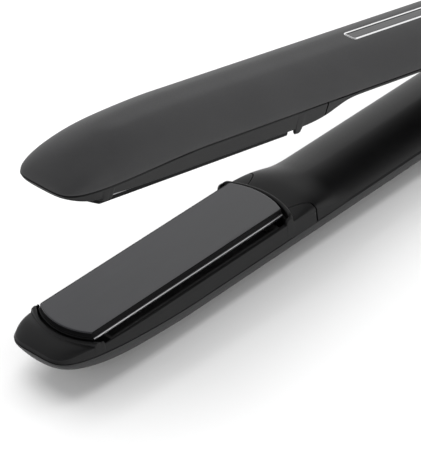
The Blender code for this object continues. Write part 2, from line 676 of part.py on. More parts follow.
def make_tray(arm):
    """Heat-proof tray under the plate, with the cushions that the plate floats on."""
    start, end = TRAY_START, TRAY_END
    bottom = TRAY_FLOOR - TRAY_WALL
    tray = box(arm["name"] + "_plate_tray", (start, -TRAY_HALF_WIDTH, bottom),
               (end, TRAY_HALF_WIDTH, TRAY_RIM), "insulator")
    cut(tray, box("well", (start + TRAY_WALL, -TRAY_HALF_WIDTH + TRAY_WALL, TRAY_FLOOR),
                  (end - TRAY_WALL, TRAY_HALF_WIDTH - TRAY_WALL, 0.0), "insulator"))
    middle = PLATE_LENGTH / 2
    slot = box("slot", (middle - FUSE_LENGTH, -SLOT_HALF, bottom - MM),
               (middle + FUSE_LENGTH, SLOT_HALF, 0.0), "insulator")
    holes = [rod("hole", "z", (x, 0, 0), bottom - MM, 0.0, SCREW_RADIUS + FIT_GAP, "insulator", 12)
             for x in TRAY_SCREWS]
    cut(tray, slot, *holes)
    set_in_arm(tray, arm)
    for label, x in zip(("front", "rear"), CUSHION_X):
        cushion = box(arm["name"] + "_" + label + "_cushion",
                      (x - CUSHION_HALF, -CUSHION_HALF, TRAY_FLOOR + FIT_GAP),
                      (x + CUSHION_HALF, CUSHION_HALF, CUSHION_TOP), "silicone")
        cut(cushion, rod("dimple", "z", (x, 0, 0), CUSHION_TOP - DIMPLE_DEPTH, 0.0, DIMPLE_RADIUS,
                         "silicone", 16))
        set_in_arm(cushion, arm)
    for label, x in zip(("front", "rear"), TRAY_SCREWS):
        make_screw(arm["name"] + "_" + label + "_tray_screw", (x, 0, TRAY_FLOOR + FIT_GAP),
                   TRAY_SCREW_LENGTH, arm)


def make_screw(name, seat, length, arm):
    """Pan-head screw with a cross slot, its head standing on the seat point."""
    x, y, z = seat
    profile = [(-length, SCREW_RADIUS * SCREW_POINT), (-length + MM, SCREW_RADIUS), (0.0, SCREW_RADIUS),
               (0.0, SCREW_HEAD_RADIUS), (SCREW_HEAD_HEIGHT * SCREW_HEAD_EDGE, SCREW_HEAD_RADIUS),
               (SCREW_HEAD_HEIGHT, SCREW_HEAD_RADIUS * SCREW_CROWN)]
    screw = turned(name, "z", (x, y, z), profile, "steel", 12)
    reach = SCREW_HEAD_RADIUS * SLOT_REACH
    deep, top = z + SCREW_HEAD_HEIGHT * SLOT_FLOOR, z + SCREW_HEAD_HEIGHT + MM
    thin = SLOT_HALF_WIDTH
    cross = box("cross", (x - reach, y - thin, deep), (x + reach, y + thin, top), "steel")
    join(cross, box("bar", (x - thin, y - reach, deep), (x + thin, y + reach, top), "steel"))
    cut(screw, cross)
    return set_in_arm(screw, arm)


# ================================================================ hinge
SLAB_TOP = -PARTING_DEPTH + SEAM_GAP + SLAB_THICKNESS
HINGE_SCREW_X = HINGE_X - HINGE_SCREW_BEFORE_PIN
CHEEK_INNER = DRUM_HALF_WIDTH + DRUM_SIDE_GAP
COLLAR_START = HINGE_X + COLLAR_BEHIND_PIN
COLLAR_END = TAIL_X + COLLAR_PROUD
SHAFT_RADIUS = CORD_BORE_RADIUS + GLAND_WALL


def tail_outline():
    """Plan outline of the arm's rear end, from the handle cover's end to the tail."""
    straight_end, last = HINGE_X - TAIL_STRAIGHT, TAIL_X - TAIL_TRIM
    right = [(COVER_END_X + SEAM_GAP, half_width(COVER_END_X)), (straight_end, half_width(straight_end))]
    right += [(x, half_width(x)) for x in tail_stations(0.0, TAIL_OUTLINE_SECTIONS)]
    right += [(last, half_width(last))]
    return right + [(x, -y) for x, y in right[::-1]]


def hinge_base(name):
    """Slab that closes the rear of the shell, with a block under it that plugs the shell."""
    base = prism(name, tail_outline(), -PARTING_DEPTH + SEAM_GAP, SLAB_TOP, "cover")
    plug = box("plug", (HINGE_X - PLUG_FRONT, -PLUG_HALF_WIDTH, PLUG_BOTTOM),
               (HINGE_X + PLUG_REAR, PLUG_HALF_WIDTH, SLAB_TOP - FIT_GAP), "cover")
    join(base, plug)
    holes = [rod("hole", "z", (HINGE_SCREW_X, side * HINGE_SCREW_Y, 0), -LONG_REACH, 0.0,
                 SCREW_RADIUS + FIT_GAP, "cover", 12) for side in (-1, 1)]
    return cut(base, *holes)


def drum(name, y_low, y_high, rear_reach):
    """Round drum about the pin, with a foot reaching down to the slab."""
    made = rod(name, "y", (HINGE_X, 0, HINGE_Z), y_low, y_high, DRUM_RADIUS, "cover", 32)
    foot = box("foot", (HINGE_X - DRUM_RADIUS, y_low, SLAB_TOP - FOOT_SINK),
               (HINGE_X + rear_reach, y_high, HINGE_Z), "cover")
    return join(made, foot)


def pin_bore(radius, y_low, y_high, sides=16):
    return rod("bore", "y", (HINGE_X, 0, HINGE_Z), y_low, y_high, radius, "cover", sides)


def make_hinge_block(arm):
    """Lower half of the hinge: two cheeks, and the collar that holds the cord gland."""
    block = hinge_base(arm["name"] + "_hinge_block")
    for side in (-1, 1):
        near, far = side * CHEEK_INNER, side * CHEEK_HALF_SPAN
        join(block, drum("cheek", min(near, far), max(near, far), DRUM_RADIUS))
    collar_radius = SHAFT_RADIUS + GLAND_CLEARANCE + COLLAR_WALL
    collar = rod("collar", "x", (0, 0, -GLAND_AXIS_DEPTH), COLLAR_START, COLLAR_END, collar_radius, "cover")
    foot = box("foot", (COLLAR_START, -collar_radius, SLAB_TOP - FOOT_SINK),
               (COLLAR_END - COLLAR_FOOT_CUTBACK, collar_radius, -GLAND_AXIS_DEPTH), "cover")
    join(block, collar, foot)
    cut(block,
        rod("gland_bore", "x", (0, 0, -GLAND_AXIS_DEPTH), COLLAR_START - MM, COLLAR_END + MM,
            SHAFT_RADIUS + GLAND_CLEARANCE, "cover"),
        pin_bore(PIN_RADIUS + PIN_CLEARANCE, -LONG_REACH, LONG_REACH),
        pin_bore(CAP_RADIUS + FIT_GAP, CHEEK_HALF_SPAN - CAP_RECESS, LONG_REACH, 28),
        pin_bore(CAP_RADIUS + FIT_GAP, -LONG_REACH, -CHEEK_HALF_SPAN + CAP_RECESS, 28))
    return set_in_arm(block, arm)


def make_hinge_knuckle(arm):
    """Upper half of the hinge: one drum between the cheeks, hollow for the spring."""
    knuckle = hinge_base(arm["name"] + "_hinge_knuckle")
    join(knuckle, drum("drum", -DRUM_HALF_WIDTH, DRUM_HALF_WIDTH, DRUM_RADIUS - DRUM_FOOT_CUTBACK))
    cut(knuckle,
        pin_bore(PIN_RADIUS + PIN_CLEARANCE, -LONG_REACH, LONG_REACH),
        pin_bore(POCKET_RADIUS, POCKET_START, LONG_REACH, 28))
    return set_in_arm(knuckle, arm)


def make_hinge_hardware(lower, upper):
    centre = (HINGE_X, 0, HINGE_Z)
    pin_end = CHEEK_HALF_SPAN - CAP_RECESS - FIT_GAP
    pin = turned("hinge_pin", "y", centre,
                 [(-pin_end, PIN_RADIUS - PIN_CHAMFER), (-pin_end + PIN_CHAMFER_LENGTH, PIN_RADIUS),
                  (pin_end - PIN_CHAMFER_LENGTH, PIN_RADIUS), (pin_end, PIN_RADIUS - PIN_CHAMFER)],
                 "steel", 16)
    set_in_arm(pin, lower)
    for label, side in (("right", -1), ("left", 1)):
        seat = side * (CHEEK_HALF_SPAN - CAP_RECESS + FIT_GAP)
        face = side * (CHEEK_HALF_SPAN + CAP_PROUD)
        cap = turned("hinge_cap_" + label, "y", centre,
                     [(seat, CAP_RADIUS), (face - side * CAP_PROUD, CAP_RADIUS),
                      (face, CAP_RADIUS - CAP_CHAMFER)], "cover", 28)
        set_in_arm(cap, lower)
    pitch = 2 * SPRING_WIRE_RADIUS + SPRING_PITCH_GAP
    steps = SPRING_FACETS * SPRING_TURNS
    start = POCKET_START + FIT_GAP + SPRING_WIRE_RADIUS
    path = []
    for i in range(steps + 1):
        turn = math.tau * i / SPRING_FACETS
        path.append((HINGE_X + SPRING_COIL_RADIUS * math.cos(turn), start + pitch * i / SPRING_FACETS,
                     HINGE_Z + SPRING_COIL_RADIUS * math.sin(turn)))
    set_in_arm(tube("torsion_spring", path, SPRING_WIRE_RADIUS, "steel"), upper)
    for arm in (lower, upper):
        for label, side in (("right", -1), ("left", 1)):
            make_screw(arm["name"] + "_" + label + "_hinge_screw",
                       (HINGE_SCREW_X, side * HINGE_SCREW_Y, SLAB_TOP + FIT_GAP), HINGE_SCREW_LENGTH, arm)


def make_cord_gland(arm):
    """Sleeve that turns in the collar and takes the cord."""
    inner = HINGE_X + GLAND_INNER_BEHIND_PIN
    flange_end = COLLAR_START - GLAND_CLEARANCE
    flange_radius = -SLAB_TOP - GLAND_AXIS_DEPTH - FIT_GAP
    head_radius = SHAFT_RADIUS + GLAND_HEAD_WALL
    profile = [(inner, flange_radius), (flange_end, flange_radius), (flange_end, SHAFT_RADIUS),
               (GLAND_FACE_X, SHAFT_RADIUS), (GLAND_FACE_X, head_radius),
               (GLAND_FACE_X + GLAND_HEAD_LENGTH, head_radius), (GLAND_END_X - MM, head_radius - GLAND_TAPER),
               (GLAND_END_X, head_radius - GLAND_TAPER - GLAND_MOUTH_CHAMFER)]
    gland = turned("cord_gland", "x", (0, 0, -GLAND_AXIS_DEPTH), profile, "cover", 28)
    cut(gland, rod("bore", "x", (0, 0, -GLAND_AXIS_DEPTH), inner - MM, GLAND_END_X + MM, CORD_BORE_RADIUS,
                   "cover"))
    set_in_arm(gland, arm)
    return own_origin(gland, (GLAND_FACE_X, 0, -GLAND_AXIS_DEPTH))


# ================================================================ electrics in the lower handle
BOARD_TOP = -14.0 * MM
BOARD_THICKNESS = 1.6 * MM
BOARD_START = HINGE_X - 90.0 * MM
BOARD_END = HINGE_X - 22.0 * MM
BOARD_HALF_WIDTH = 10.0 * MM
BOARD_SCREWS = (BOARD_START + 4.0 * MM, BOARD_END - 24.0 * MM)
BOARD_SCREW_LENGTH = 6.0 * MM
SOLDER_SINK = 0.2 * MM            # overlap of the board and what is soldered to it
RELAY_START = BOARD_START + 12.0 * MM
RELAY_LENGTH = 14.0 * MM
RELAY_SIDES = (-7.0 * MM, 4.0 * MM)
RELAY_HEIGHT = 6.0 * MM
CAPACITOR_AT = (RELAY_START + 21.0 * MM, -2.0 * MM)
CAPACITOR_RADIUS = 4.0 * MM
CAPACITOR_HEIGHT = 6.5 * MM
SWITCH_HALF = 3.0 * MM
SWITCH_BODY_TOP = BOARD_TOP + 3.6 * MM
PLUNGER_RADIUS = 1.5 * MM
PLUNGER_STAND = 0.6 * MM          # plunger clear of the switch body's top, pressed or not
STEM_BOTTOM = SWITCH_BODY_TOP + 2 * PLUNGER_STAND
SOUNDER_AT = (BUTTON_X - 11.0 * MM, 5.8 * MM)
SOUNDER_RADIUS = 3.6 * MM
SOUNDER_HEIGHT = 3.0 * MM
SOUNDER_CHAMFER = 0.4 * MM
SOUNDER_PORT_RADIUS = 0.8 * MM
SOUNDER_PORT_FLOOR = 2.0 * MM
LEAD_RADIUS = 1.3 * MM
LEAD_HEIGHT = -17.4 * MM
LEAD_Y = 5.0 * MM
LEAD_SWAY = 3.0 * MM
LEAD_RISE = 0.2                   # how much the sway lifts the lead
LEAD_STEPS = 14
LEAD_BEHIND_PLATE = 2.0 * MM
LEAD_BEFORE_BOARD = 1.5 * MM
LEAD_BEFORE_HINGE = 24.0 * MM


def make_board(arm):
    board = box("circuit_board", (BOARD_START, -BOARD_HALF_WIDTH, BOARD_TOP - BOARD_THICKNESS),
                (BOARD_END, BOARD_HALF_WIDTH, BOARD_TOP), "board")
    join(board,
         box("relay", (RELAY_START, RELAY_SIDES[0], BOARD_TOP - SOLDER_SINK),
             (RELAY_START + RELAY_LENGTH, RELAY_SIDES[1], BOARD_TOP + RELAY_HEIGHT), "board"),
         rod("capacitor", "z", (*CAPACITOR_AT, BOARD_TOP), -SOLDER_SINK, CAPACITOR_HEIGHT, CAPACITOR_RADIUS,
             "board", 20))
    cut(board, *[rod("hole", "z", (x, 0, 0), BOARD_TOP - REACH, 0.0, SCREW_RADIUS + FIT_GAP, "board", 12)
                 for x in BOARD_SCREWS])
    set_in_arm(board, arm)
    for label, x in zip(("front", "rear"), BOARD_SCREWS):
        make_screw("board_" + label + "_screw", (x, 0, BOARD_TOP + FIT_GAP), BOARD_SCREW_LENGTH, arm)
    switch = box("touch_switch", (BUTTON_X - SWITCH_HALF, -SWITCH_HALF, BOARD_TOP + FIT_GAP),
                 (BUTTON_X + SWITCH_HALF, SWITCH_HALF, SWITCH_BODY_TOP - PLUNGER_STAND), "insulator")
    join(switch, rod("plunger", "z", (BUTTON_X, 0, 0), BOARD_TOP + MM,
                     STEM_BOTTOM - BUTTON_TRAVEL - FIT_GAP, PLUNGER_RADIUS, "insulator", 16))
    set_in_arm(switch, arm)
    sounder = turned("sounder", "z", (*SOUNDER_AT, BOARD_TOP),
                     [(FIT_GAP, SOUNDER_RADIUS), (SOUNDER_HEIGHT - SOUNDER_CHAMFER, SOUNDER_RADIUS),
                      (SOUNDER_HEIGHT, SOUNDER_RADIUS - SOUNDER_CHAMFER)], "insulator", 24)
    cut(sounder, rod("port", "z", (*SOUNDER_AT, 0), BOARD_TOP + SOUNDER_PORT_FLOOR, 0.0,
                     SOUNDER_PORT_RADIUS, "insulator", 12))
    set_in_arm(sounder, arm)


def make_power_button(arm):
    top = -HANDLE_CREST_DEPTH + BUTTON_PROUD
    flange_top = -HANDLE_CREST_DEPTH - RIM_WALL - BUTTON_FLANGE_DEPTH
    flange_bottom = flange_top - BUTTON_FLANGE_THICKNESS
    flange_radius = BUTTON_RADIUS + BUTTON_FLANGE
    profile = [(STEM_BOTTOM, BUTTON_STEM_RADIUS), (flange_bottom, BUTTON_STEM_RADIUS),
               (flange_bottom, flange_radius), (flange_top, flange_radius), (flange_top, BUTTON_RADIUS),
               (top - BUTTON_EDGE, BUTTON_RADIUS), (top, BUTTON_RADIUS - BUTTON_EDGE_INSET)]
    button = set_in_arm(turned("power_button", "z", (BUTTON_X, 0, 0), profile, "cover"), arm)
    return own_origin(button, (BUTTON_X, 0, flange_top))


def make_light_pipe(arm):
    top = -HANDLE_CREST_DEPTH + LENS_PROUD
    end_radius = LENS_RADIUS * LENS_TAPER
    profile = [(BOARD_TOP + 10 * FIT_GAP, end_radius), (top - LENS_EDGE, LENS_RADIUS), (top, end_radius)]
    pipe = turned("indicator_lens", "z", (LENS_X, 0, 0), profile, "lens", 16)
    set_in_arm(pipe, arm)


def make_lead(arm, start_x):
    """Heater lead lying loose in the arm."""
    end_x = PLATE_LENGTH + LEAD_BEHIND_PLATE
    path = []
    for i in range(LEAD_STEPS + 1):
        share = i / LEAD_STEPS
        sway = LEAD_SWAY * math.sin(math.tau * share)
        path.append((start_x + (end_x - start_x) * share, LEAD_Y + sway, LEAD_HEIGHT + sway * LEAD_RISE))
    set_in_arm(tube(arm["name"] + "_heater_lead", path, LEAD_RADIUS, "silicone", 8), arm)


# ================================================================ inlay on the upper shell
def inlay_slab(name, shrink, z_low, z_high, finish):
    """Long rounded bar on the shell's crest, inset all round by shrink."""
    x0, x1 = INLAY_START + shrink, INLAY_START + INLAY_LENGTH - shrink
    half = INLAY_WIDTH / 2 - shrink
    radius = max(INLAY_CORNER - shrink, LEAST_CORNER)
    outline = []
    corners = ((x1 - radius, half - radius, 0), (x0 + radius, half - radius, 1),
               (x0 + radius, -half + radius, 2), (x1 - radius, -half + radius, 3))
    for cx, cy, quarter in corners:
        for i in range(CORNER_STEPS + 1):
            turn = math.pi / 2 * (quarter + i / CORNER_STEPS)
            outline.append((cx + radius * math.cos(turn), cy + radius * math.sin(turn)))
    return prism(name, outline, z_low, z_high, finish)


def make_inlay(arm):
    floor = CREST_Z + INLAY_POCKET - FIT_GAP
    proud = CREST_Z - INLAY_PROUD
    bezel = inlay_slab("inlay_bezel", FIT_GAP, proud, floor, "chrome")
    cut(bezel, inlay_slab("hole", FIT_GAP + INLAY_RIM, proud - MM, floor + MM, "chrome"))
    set_in_arm(bezel, arm)
    panel = inlay_slab("inlay_panel", 2 * FIT_GAP + INLAY_RIM, CREST_Z + PANEL_SINK, floor, "smoked")
    set_in_arm(panel, arm)


# ================================================================ the whole
def arm_frame(name, location, turn):
    frame = bpy.data.objects.new(name, None)
    frame.location = location
    frame.rotation_euler = (0.0, turn, 0.0)
    bpy.context.collection.objects.link(frame)
    return frame


def build():
    clear_scene()
    middle = (TIP_X + GLAND_END_X) / 2
    lower = {
        "name": "lower", "upper": False,
        "frame": arm_frame("lower_arm_frame", (-middle, 0, -CREST_Z), 0.0),
    }
    upper = {
        "name": "upper", "upper": True,
        "frame": arm_frame("upper_arm_frame", (HINGE_X - middle, 0, HINGE_Z - CREST_Z), OPEN_ANGLE),
    }
    tray_posts = [(x, 0.0, TRAY_FLOOR - TRAY_WALL - FIT_GAP) for x in TRAY_SCREWS]
    hinge_posts = [(HINGE_SCREW_X, side * HINGE_SCREW_Y, -PARTING_DEPTH) for side in (-1, 1)]
    board_posts = [(x, 0.0, BOARD_TOP - BOARD_THICKNESS - FIT_GAP) for x in BOARD_SCREWS]
    lower["posts"] = tray_posts + hinge_posts + board_posts
    upper["posts"] = tray_posts + hinge_posts
    for arm in (lower, upper):
        make_outer_shell(arm)
        make_covers(arm)
        make_hot_plate(arm)
        make_tray(arm)
    make_hinge_block(lower)
    make_hinge_knuckle(upper)
    make_hinge_hardware(lower, upper)
    make_cord_gland(lower)
    make_board(lower)
    make_power_button(lower)
    make_light_pipe(lower)
    make_lead(lower, BOARD_START - LEAD_BEFORE_BOARD)
    make_lead(upper, HINGE_X - LEAD_BEFORE_HINGE)
    make_inlay(upper)


build()
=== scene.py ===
import json
import math

import bmesh
import bpy
import numpy as np
from mathutils import Matrix, Vector


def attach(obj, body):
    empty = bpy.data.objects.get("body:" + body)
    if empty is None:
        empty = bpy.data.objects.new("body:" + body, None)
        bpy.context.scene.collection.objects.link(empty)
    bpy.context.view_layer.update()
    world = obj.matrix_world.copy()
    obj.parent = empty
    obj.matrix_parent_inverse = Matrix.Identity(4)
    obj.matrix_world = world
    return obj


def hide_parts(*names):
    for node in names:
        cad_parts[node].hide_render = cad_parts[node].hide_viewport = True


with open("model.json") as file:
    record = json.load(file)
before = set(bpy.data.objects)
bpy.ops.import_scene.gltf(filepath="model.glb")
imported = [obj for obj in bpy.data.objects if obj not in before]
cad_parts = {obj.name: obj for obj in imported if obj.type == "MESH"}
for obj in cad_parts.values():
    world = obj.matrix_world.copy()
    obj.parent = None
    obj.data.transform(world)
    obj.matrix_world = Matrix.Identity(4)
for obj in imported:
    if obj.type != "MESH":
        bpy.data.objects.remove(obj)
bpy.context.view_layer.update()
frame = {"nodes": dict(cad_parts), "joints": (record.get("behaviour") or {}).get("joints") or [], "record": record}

# ---------------------------------------------------------------- outer shells
# The two backs of the iron: long half-round mouldings in glass-filled nylon, 1.6 mm thick,
# sprayed with a soft-touch black lacquer.
# The upper one has a long pocket in its crest for the trim strip.
HINGE_AT = (236.0, 0.2)           # pin centre in the arm's own drawing: millimetres behind the
                                  # plate's front corners, and above the plate's face
hinge = next(joint for joint in frame["joints"] if joint["name"] == "arm_hinge")
pin_centre = Matrix.Translation(Vector(hinge["pos_m"]))
millimetres = Matrix.Scale(0.001, 4)
arm_place = {
    "lower": pin_centre @ millimetres @ Matrix.Translation((-HINGE_AT[0], 0, -HINGE_AT[1])),
    "upper": pin_centre
    @ Matrix.Rotation(math.radians(hinge["range_deg"][1]), 4, "Y")
    @ millimetres
    @ Matrix.Translation((-HINGE_AT[0], 0, HINGE_AT[1]))
    @ Matrix.Diagonal((1, 1, -1, 1)),
}

half_arm = 17.2
tip_x, tail_x = -16.1, 249.0
nose_taper, nose_rise, nose_lift, tail_round = 76.0, 34.0, 62.0, 14.0   # lengths of the rounded ends
parting_depth, tip_parting_depth = 11.2, 6.1
shell_crest, rest_shave = 12.0, 0.35
shell_fullness = 1.85             # 2 is an ellipse, less is flatter at the shoulders
shell_wall = 1.6
lip_round = 0.3
crease_angle = math.radians(38)


def swell(distance, length, power):
    """From 0 at an end to 1 a length away, rounded as a superellipse."""
    share = np.clip(distance / length, 0.0, 1.0)
    return (1 - (1 - share) ** power) ** (1 / power)


def ease(x, start, end):
    """From 0 at start to 1 at end, level at both."""
    share = np.clip((x - start) / (end - start), 0.0, 1.0)
    return share * share * (3 - 2 * share)


def half_width(x, inset=0.0):
    nose = swell(x - tip_x - inset, nose_taper, 5.0)
    tail = swell(tail_x - inset - x, tail_round, 2.4)
    return (half_arm - inset) * nose * tail


def shell_depth(x, inset=0.0):
    nose = swell(x - tip_x - inset, nose_rise, 1.93)
    tail = swell(tail_x - inset - x, tail_round, 2.4)
    return (shell_crest - inset) * nose * tail


def parting_z(x):
    """Height of the line where shell and covers part; it rises towards the nose."""
    rise = np.clip(1 - (x - tip_x) / nose_lift, 0.0, None) ** 1.5
    return -parting_depth + (parting_depth - tip_parting_depth) * rise


def soft_floor(depth, floor):
    """The crest is eased flat over the last few tenths so that the arm lies still."""
    over = np.clip(depth - (floor - rest_shave), 0.0, 2 * rest_shave)
    return depth - over ** 2 / (4 * rest_shave)


def arm_stations(inset):
    """Sections along the arm, crowded where the nose and the tail round off."""
    front, shoulder, rear = tip_x + inset, tip_x + nose_rise, tail_x - inset
    nose = front + (shoulder - front) * (np.arange(0, 30) / 30) ** 2.4
    middle = np.linspace(shoulder, tail_x - tail_round, 56)
    tail = rear - (rear - (tail_x - tail_round)) * (np.arange(19, -1, -1) / 20) ** 2.2
    return np.concatenate([nose, middle, tail])


def shell_grid(inset, lip):
    """Rows along the arm, each running from one edge of the shell round to the other."""
    rows = []
    turn = np.linspace(0.0, math.pi, 81)
    reach = np.sign(np.cos(turn)) * np.abs(np.cos(turn)) ** (2 / shell_fullness)
    fall = np.abs(np.sin(turn)) ** (2 / shell_fullness)
    for x in arm_stations(inset):
        wide, deep, edge = half_width(x, inset), shell_depth(x, inset), parting_z(x)
        across = wide * reach
        down = soft_floor(deep * fall, shell_crest - inset - rest_shave)
        if lip:
            soften = np.exp(-((down / lip) ** 2))
            across = across - np.sign(across) * soften * min(lip, wide * 0.1) * 0.6
        rows.append(np.stack([np.full_like(across, x), across, edge - down], axis=1))
    return np.array(rows)


def add_piece(name, points, faces, arm, finish):
    """A closed piece from points in the arm's drawing, set in its arm and smoothed."""
    mesh = bpy.data.meshes.new(name)
    mesh.from_pydata([tuple(p) for p in points], [], faces)
    mesh.transform(arm_place[arm])
    work = bmesh.new()
    work.from_mesh(mesh)
    bmesh.ops.remove_doubles(work, verts=work.verts, dist=2e-6)
    bmesh.ops.dissolve_degenerate(work, edges=work.edges, dist=1e-6)
    bmesh.ops.recalc_face_normals(work, faces=work.faces)
    if work.calc_volume(signed=True) < 0:
        bmesh.ops.reverse_faces(work, faces=work.faces)
    work.to_mesh(mesh)
    work.free()
    mesh.materials.append(finish)
    mesh.shade_smooth()
    mesh.set_sharp_from_angle(angle=crease_angle)
    piece = bpy.data.objects.new(name, mesh)
    bpy.context.scene.collection.objects.link(piece)
    return piece


def thick_skin(name, outer, inner, arm, finish):
    """A moulded wall: an outer and an inner grid joined along their four borders."""
    rows, columns = outer.shape[:2]
    count = rows * columns
    points = np.concatenate([outer.reshape(-1, 3), inner.reshape(-1, 3)])
    faces = []
    for i in range(rows - 1):
        for j in range(columns - 1):
            a = i * columns + j
            quad = (a, a + 1, a + columns + 1, a + columns)
            faces.append(quad)
            faces.append(tuple(count + q for q in quad[::-1]))
    border = list(range(columns))
    border += [i * columns + columns - 1 for i in range(1, rows)]
    border += [(rows - 1) * columns + j for j in range(columns - 2, -1, -1)]
    border += [i * columns for i in range(rows - 2, 0, -1)]
    for a, b in zip(border, border[1:] + border[:1]):
        faces.append((b, a, count + a, count + b))
    return add_piece(name, points, faces, arm, finish)


def node(tree, kind, **inputs):
    """One shader node, its inputs set by name with a value or another node's output."""
    made = tree.nodes.new(kind)
    for key, value in inputs.items():
        if isinstance(value, bpy.types.NodeSocket):
            tree.links.new(value, made.inputs[key])
        else:
            made.inputs[key].default_value = value
    return made


def ramp(tree, factor, low, high, start, end):
    """A smooth step from low to high while factor goes from start to end."""
    made = node(tree, "ShaderNodeMapRange", Value=factor)
    made.interpolation_type = "SMOOTHSTEP"
    made.inputs["From Min"].default_value = start
    made.inputs["From Max"].default_value = end
    made.inputs["To Min"].default_value = low
    made.inputs["To Max"].default_value = high
    return made.outputs["Result"]


def calculated(tree, operation, first, second):
    """The result of one sum on two outputs."""
    made = node(tree, "ShaderNodeMath")
    made.operation = operation
    tree.links.new(first, made.inputs[0])
    tree.links.new(second, made.inputs[1])
    return made.outputs["Value"]


def finish(name, colour, worn, roughness, spread, grain, height, specular=0.5, metallic=0.0,
           stretch=(1.0, 1.0, 1.0)):
    """A moulded or machined surface.

    colour drifts towards worn in broad patches and on handled edges, roughness varies by spread, and
    grain is the size in millimetres of a surface texture height millimetres deep.
    """
    made = bpy.data.materials.new(name)
    made.use_nodes = True
    tree = made.node_tree
    shader = tree.nodes["Principled BSDF"]
    place = node(tree, "ShaderNodeTexCoord").outputs["Object"]
    stretched = node(tree, "ShaderNodeMapping", Vector=place, Scale=stretch).outputs["Vector"]
    broad = node(tree, "ShaderNodeTexNoise", Vector=place, Scale=55.0, Detail=3.0).outputs["Fac"]
    fine = node(tree, "ShaderNodeTexNoise", Vector=stretched, Scale=1000.0 / grain, Detail=4.0,
                Roughness=0.6).outputs["Fac"]
    edge = node(tree, "ShaderNodeNewGeometry").outputs["Pointiness"]
    wear = ramp(tree, edge, 0.0, 0.35, 0.53, 0.62)
    patch = ramp(tree, broad, 0.0, 0.35, 0.35, 0.7)
    mix = node(tree, "ShaderNodeMix")
    mix.data_type = "RGBA"
    factor, first, second = mix.inputs[0], mix.inputs[6], mix.inputs[7]      # a colour mix's own sockets
    tree.links.new(calculated(tree, "ADD", wear, patch), factor)
    first.default_value = (*colour, 1.0)
    second.default_value = (*worn, 1.0)
    tree.links.new(mix.outputs[2], shader.inputs["Base Color"])
    tree.links.new(ramp(tree, fine, roughness - spread, roughness + spread, 0.25, 0.75),
                   shader.inputs["Roughness"])
    bump = node(tree, "ShaderNodeBump", Height=fine, Strength=1.0, Distance=height * 0.001)
    tree.links.new(bump.outputs["Normal"], shader.inputs["Normal"])
    shader.inputs["Metallic"].default_value = metallic
    shader.inputs["Specular IOR Level"].default_value = specular
    return made


soft_touch_black = finish("soft_touch_black", (0.022, 0.022, 0.023), (0.032, 0.032, 0.033), 0.55, 0.05,
                          0.35, 0.010, specular=0.40)


def cut_out(piece, *tools):
    """Cuts the tools out of the piece and takes them away."""
    for tool in tools:
        step = piece.modifiers.new("cut", "BOOLEAN")
        step.operation = "DIFFERENCE"
        step.solver = "MANIFOLD"
        step.object = tool
    bpy.context.view_layer.update()
    shaped = bpy.data.meshes.new_from_object(piece.evaluated_get(bpy.context.evaluated_depsgraph_get()))
    piece.modifiers.clear()
    piece.data = shaped
    shaped.set_sharp_from_angle(angle=crease_angle)
    for tool in tools:
        bpy.data.objects.remove(tool, do_unlink=True)


def lofted(name, rings, arm, finish, closed=False):
    """Rings of equal count joined in turn: capped at both ends, or closed, last ring to first."""
    count = len(rings[0])
    points = np.concatenate([np.asarray(ring, float) for ring in rings])
    faces = [] if closed else [tuple(range(count)), tuple(range(len(points) - count, len(points)))]
    for i in range(len(rings) if closed else len(rings) - 1):
        a, b = i * count, (i + 1) % len(rings) * count
        for j in range(count):
            k = (j + 1) % count
            faces.append((a + j, a + k, b + k, b + j))
    return add_piece(name, points, faces, arm, finish)


strip_start, strip_length, strip_width, strip_corner = 139.2, 66.0, 6.2, 1.6
corner_steps, pocket_depth = 12, 1.0
crest_z = -(parting_depth + shell_crest - rest_shave)


def strip_outline(shrink):
    """Plan outline of the trim strip's pocket, inset all round by shrink."""
    x0, x1 = strip_start + shrink, strip_start + strip_length - shrink
    half = strip_width / 2 - shrink
    radius = max(strip_corner - shrink, 0.3)
    made = []
    for cx, cy, quarter in ((x1 - radius, half - radius, 0), (x0 + radius, half - radius, 1),
                            (x0 + radius, radius - half, 2), (x1 - radius, radius - half, 3)):
        for i in range(corner_steps + 1):
            turn = math.pi / 2 * (quarter + i / corner_steps)
            made.append((cx + radius * math.cos(turn), cy + radius * math.sin(turn)))
    return np.array(made)


def strip_ring(shrink, z):
    """The strip's outline, inset by shrink, at one height."""
    outline = strip_outline(shrink)
    return np.column_stack([outline, np.full(len(outline), z)])


for arm in ("lower", "upper"):
    shell = thick_skin(arm + "_back_shell", shell_grid(0.0, lip_round), shell_grid(shell_wall, 0.0), arm,
                       soft_touch_black)
    if arm == "upper":
        pocket = [strip_ring(0.0, crest_z - pocket_depth), strip_ring(0.0, crest_z + pocket_depth)]
        cut_out(shell, lofted("pocket", pocket, arm, soft_touch_black))
    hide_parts(arm + "_outer_shell")
    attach(shell, arm + "_arm")

# ---------------------------------------------------------------- plate housings
# The front inner moulding of each arm, in heat-proof matt black.  Its thin side walls stand clear
# of the hot plate, an upright rib guards the plate's rounded front, and a low ridge its rear.
# It is clipped into the back shell along a fine parting line and meets the handle cover at a seam.
plate_half, plate_length = 12.5, 96.0
front_bow, rear_bow = 4.1, 3.1
front_radius = (plate_half ** 2 + front_bow ** 2) / (2 * front_bow)
rear_radius = (plate_half ** 2 + rear_bow ** 2) / (2 * rear_bow)
front_centre = front_radius - front_bow
rear_centre = plate_length + rear_bow - rear_radius
parting_gap = 0.3
rim_depth, band_depth, nose_foot_depth = 4.6, 10.2, 2.9
cover_draft, side_inset = 0.6, 0.5              # how far the covers' tops stand inside their feet
tongue_crest, handle_crest = 3.6, 4.4
seam_x = 110.6
arc_half, sweep_width = 9.6, 4.8   # half width of the seam's arc, and of its sweep to the side
window_gap, wall_inner = 1.1, 15.2
rib_top, rib_width, rib_round = -2.45, 1.8, 0.82
